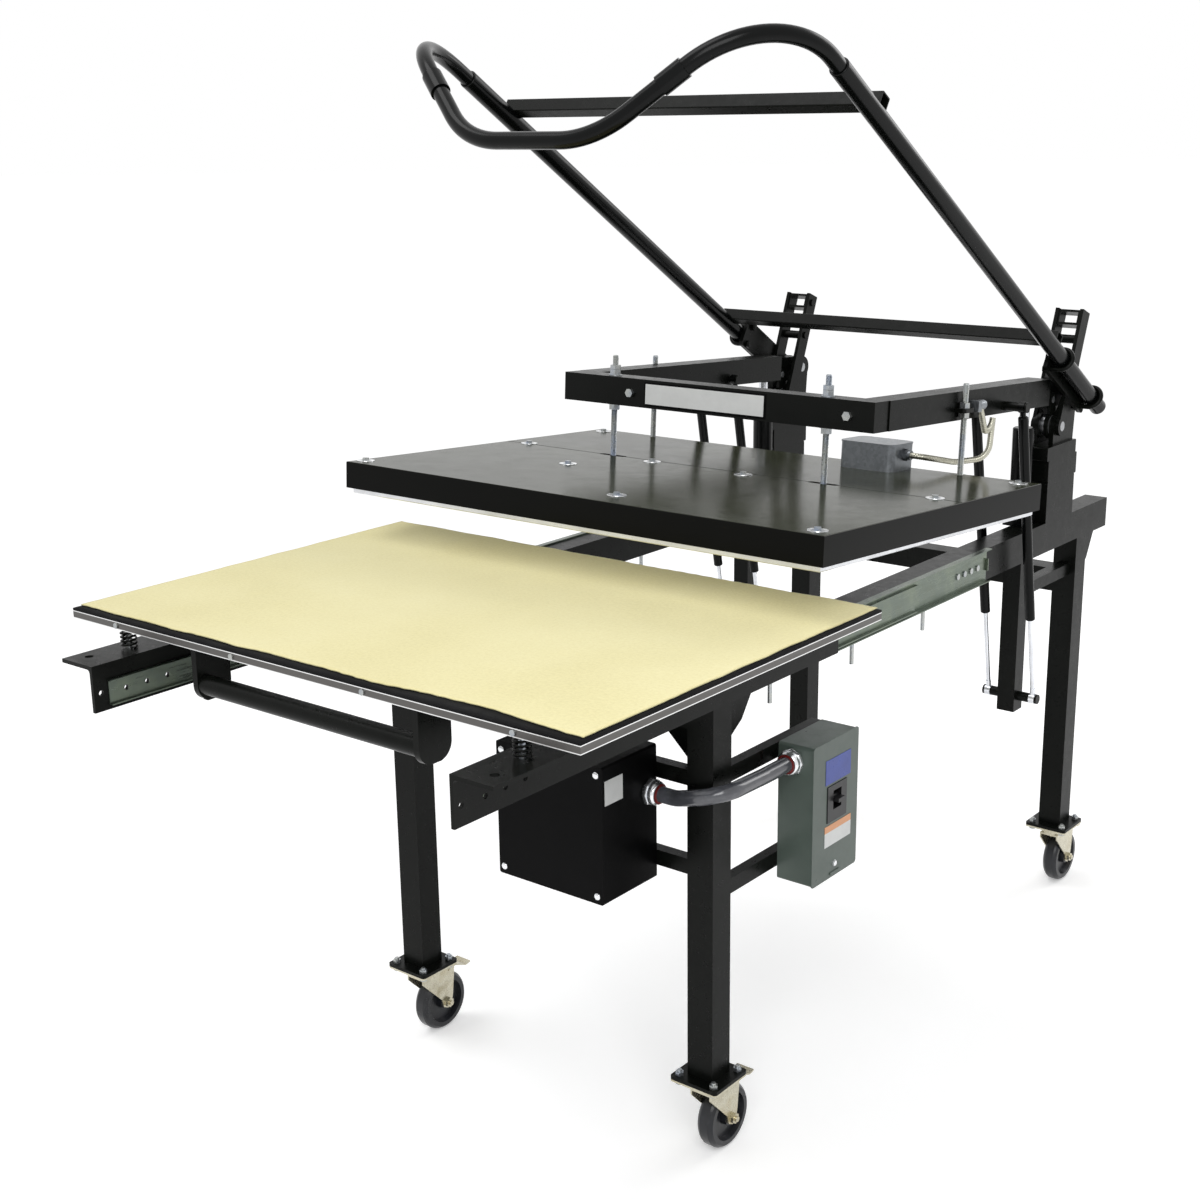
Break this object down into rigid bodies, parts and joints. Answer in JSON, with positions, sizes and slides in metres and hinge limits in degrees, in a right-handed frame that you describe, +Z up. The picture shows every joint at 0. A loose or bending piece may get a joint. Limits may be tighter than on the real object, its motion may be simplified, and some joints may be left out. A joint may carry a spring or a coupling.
{
  "type": "large format heat press",
  "caption": "Tall wheeled heat press: tilting heated platen on a tube frame, long swing handle with bail, pull-out felt table on drawer slides, control and disconnect boxes.",
  "frame": {"origin": "centre of the footprint at floor level", "axes": "+Z up, -Y to the front where the table slides out, +X to the right seen from the front"},
  "size_m": [1.067, 2.13, 1.8461],
  "materials": {
    "black_frame": "semi-gloss",
    "black_boxes": "satin",
    "black_gloss": "gloss",
    "platen_black": "satin",
    "disconnect_grey": "semi-gloss",
    "zinc_slide": "zinc plated",
    "zinc_blue": "zinc plated",
    "caster_zinc": "zinc plated",
    "galvanised": "galvanised",
    "chrome_rod": "polished",
    "bright_aluminium": "milled",
    "felt": "matt",
    "foam": "matt",
    "grip": "semi-gloss",
    "wheel": "semi-gloss",
    "conduit_grey": "satin",
    "breaker_black": "satin",
    "blanket": "matt",
    "plain_steel": "machined"
  },
  "bodies": {
    "stand": {"legs": "black_frame", "side_rails": "black_frame", "cross_members": "black_frame", "box_mount_bars": "black_frame", "towers": "black_frame", "spring_posts": "black_frame", "slide_channels": "zinc_slide", "frame_fasteners": "zinc_blue", "caster_plates": "caster_zinc", "control_box": "black_boxes", "control_box_cover": "black_boxes", "disconnect_box": "disconnect_grey", "disconnect_cover": "disconnect_grey", "breaker_block": "breaker_black", "conduit": "conduit_grey", "conduit_connectors": "galvanised", "support_cylinders": "black_gloss"},
    "head": {"press_frame": "black_frame", "platen_cover": "platen_black", "heat_plate": "bright_aluminium", "heater_elements": "plain_steel", "insulation_blanket": "blanket", "pressure_rods": "zinc_blue", "head_fasteners": "zinc_blue", "junction_box": "galvanised", "armoured_lead": "galvanised", "hinge_pins": "plain_steel"},
    "handle": {"handle_arms": "black_gloss", "handle_bail": "black_gloss", "grip_sleeve": "grip", "handle_crossbars": "black_frame", "rockers": "black_frame", "handle_fittings": "black_frame", "eccentric_shafts": "plain_steel"},
    "links": {"eccentric_links": "black_frame"},
    "gas_lower": {"gas_rods": "chrome_rod"},
    "gas_upper": {"gas_cylinders": "black_gloss"},
    "support": {"support_rods": "chrome_rod"},
    "carriage": {"carriage_irons": "black_frame", "slide_runners": "zinc_slide"},
    "slide_mids": {"slide_mid_members": "zinc_slide"},
    "table": {"table_plate": "bright_aluminium", "foam_pad": "foam", "felt_pad": "felt", "spring_bolts": "zinc_blue", "pull_handle": "black_frame", "table_springs": "zinc_blue"},
    "toggle": {"breaker_toggle": "breaker_black"},
    "fork_fl": {"caster_fork_fl": "caster_zinc"},
    "wheel_fl": {"caster_wheel_fl": "wheel"},
    "brake_fl": {"caster_brake_fl": "caster_zinc"},
    "fork_fr": {"caster_fork_fr": "caster_zinc"},
    "wheel_fr": {"caster_wheel_fr": "wheel"},
    "brake_fr": {"caster_brake_fr": "caster_zinc"},
    "fork_rl": {"caster_fork_rl": "caster_zinc"},
    "wheel_rl": {"caster_wheel_rl": "wheel"},
    "brake_rl": {"caster_brake_rl": "caster_zinc"},
    "fork_rr": {"caster_fork_rr": "caster_zinc"},
    "wheel_rr": {"caster_wheel_rr": "wheel"},
    "brake_rr": {"caster_brake_rr": "caster_zinc"}
  },
  "joints": [
    {"name": "head_tilt", "type": "hinge", "parent": "stand", "child": "head", "pos_m": [0, 0.865, 1.15], "axis": [1, 0, 0], "range_deg": [0, 3.75], "stiffness_Nm_per_rad": 2000, "springref_deg": -37.82},
    {"name": "handle_swing", "type": "hinge", "parent": "stand", "child": "handle", "pos_m": [0, 0.805, 1.085], "axis": [1, 0, 0], "range_deg": [0, 28]},
    {"name": "link_turn", "type": "hinge", "parent": "head", "child": "links", "pos_m": [0, 0.796, 1.14], "axis": [1, 0, 0], "range_deg": [-4.9, 0]},
    {"name": "gas_spring_turn", "type": "hinge", "parent": "stand", "child": "gas_lower", "pos_m": [0, 0.675, 0.532], "axis": [1, 0, 0], "range_deg": [0, 0.3629]},
    {"name": "gas_spring_slide", "type": "slide", "parent": "gas_lower", "child": "gas_upper", "axis": [0, -0.1866, 0.9824], "range_m": [-0.01998, 0]},
    {"name": "support_rod_slide", "type": "slide", "parent": "stand", "child": "support", "axis": [0, 0, 1], "range_m": [-0.00988, 0]},
    {"name": "table_slide", "type": "slide", "parent": "stand", "child": "carriage", "axis": [0, 1, 0], "range_m": [0, 0.604]},
    {"name": "slide_mid_travel", "type": "slide", "parent": "stand", "child": "slide_mids", "axis": [0, 1, 0], "range_m": [0, 0.302]},
    {"name": "table_float", "type": "slide", "parent": "carriage", "child": "table", "axis": [0, 0, 1], "range_m": [-0.006, 0], "stiffness_N_per_m": 40000, "springref_m": 0.012, "deforming": ["table_springs"]},
    {"name": "breaker_turn", "type": "hinge", "parent": "stand", "child": "toggle", "pos_m": [0.4225, -0.184, 0.6], "axis": [0, 1, 0], "range_deg": [-14, 14]},
    {"name": "swivel_fl", "type": "hinge", "parent": "stand", "child": "fork_fl", "pos_m": [-0.3356, -0.4226, 0.135], "axis": [0, 0, 1], "continuous": true},
    {"name": "roll_fl", "type": "hinge", "parent": "fork_fl", "child": "wheel_fl", "pos_m": [-0.3356, -0.3806, 0.0575], "axis": [1, 0, 0], "continuous": true},
    {"name": "brake_press_fl", "type": "hinge", "parent": "fork_fl", "child": "brake_fl", "pos_m": [-0.3356, -0.3726, 0.122], "axis": [1, 0, 0], "range_deg": [-7, 0]},
    {"name": "swivel_fr", "type": "hinge", "parent": "stand", "child": "fork_fr", "pos_m": [0.3356, -0.4226, 0.135], "axis": [0, 0, 1], "continuous": true},
    {"name": "roll_fr", "type": "hinge", "parent": "fork_fr", "child": "wheel_fr", "pos_m": [0.3356, -0.3806, 0.0575], "axis": [1, 0, 0], "continuous": true},
    {"name": "brake_press_fr", "type": "hinge", "parent": "fork_fr", "child": "brake_fr", "pos_m": [0.3356, -0.3726, 0.122], "axis": [1, 0, 0], "range_deg": [-7, 0]},
    {"name": "swivel_rl", "type": "hinge", "parent": "stand", "child": "fork_rl", "pos_m": [-0.3356, 0.9404, 0.135], "axis": [0, 0, 1], "continuous": true},
    {"name": "roll_rl", "type": "hinge", "parent": "fork_rl", "child": "wheel_rl", "pos_m": [-0.3356, 0.9824, 0.0575], "axis": [1, 0, 0], "continuous": true},
    {"name": "brake_press_rl", "type": "hinge", "parent": "fork_rl", "child": "brake_rl", "pos_m": [-0.3356, 0.9904, 0.122], "axis": [1, 0, 0], "range_deg": [-7, 0]},
    {"name": "swivel_rr", "type": "hinge", "parent": "stand", "child": "fork_rr", "pos_m": [0.3356, 0.9404, 0.135], "axis": [0, 0, 1], "continuous": true},
    {"name": "roll_rr", "type": "hinge", "parent": "fork_rr", "child": "wheel_rr", "pos_m": [0.3356, 0.9824, 0.0575], "axis": [1, 0, 0], "continuous": true},
    {"name": "brake_press_rr", "type": "hinge", "parent": "fork_rr", "child": "brake_rr", "pos_m": [0.3356, 0.9904, 0.122], "axis": [1, 0, 0], "range_deg": [-7, 0]}
  ],
  "couplings": [
    {"joint": "handle_swing", "follows": "head_tilt", "ratio": 7.4667},
    {"joint": "link_turn", "follows": "head_tilt", "ratio": -1.28},
    {"joint": "gas_spring_turn", "follows": "head_tilt", "ratio": 0.094096},
    {"joint": "gas_spring_slide", "follows": "head_tilt", "m_per_rad": -0.30381},
    {"joint": "support_rod_slide", "follows": "head_tilt", "m_per_rad": -0.14944},
    {"joint": "slide_mid_travel", "follows": "table_slide", "ratio": 0.5}
  ]
}
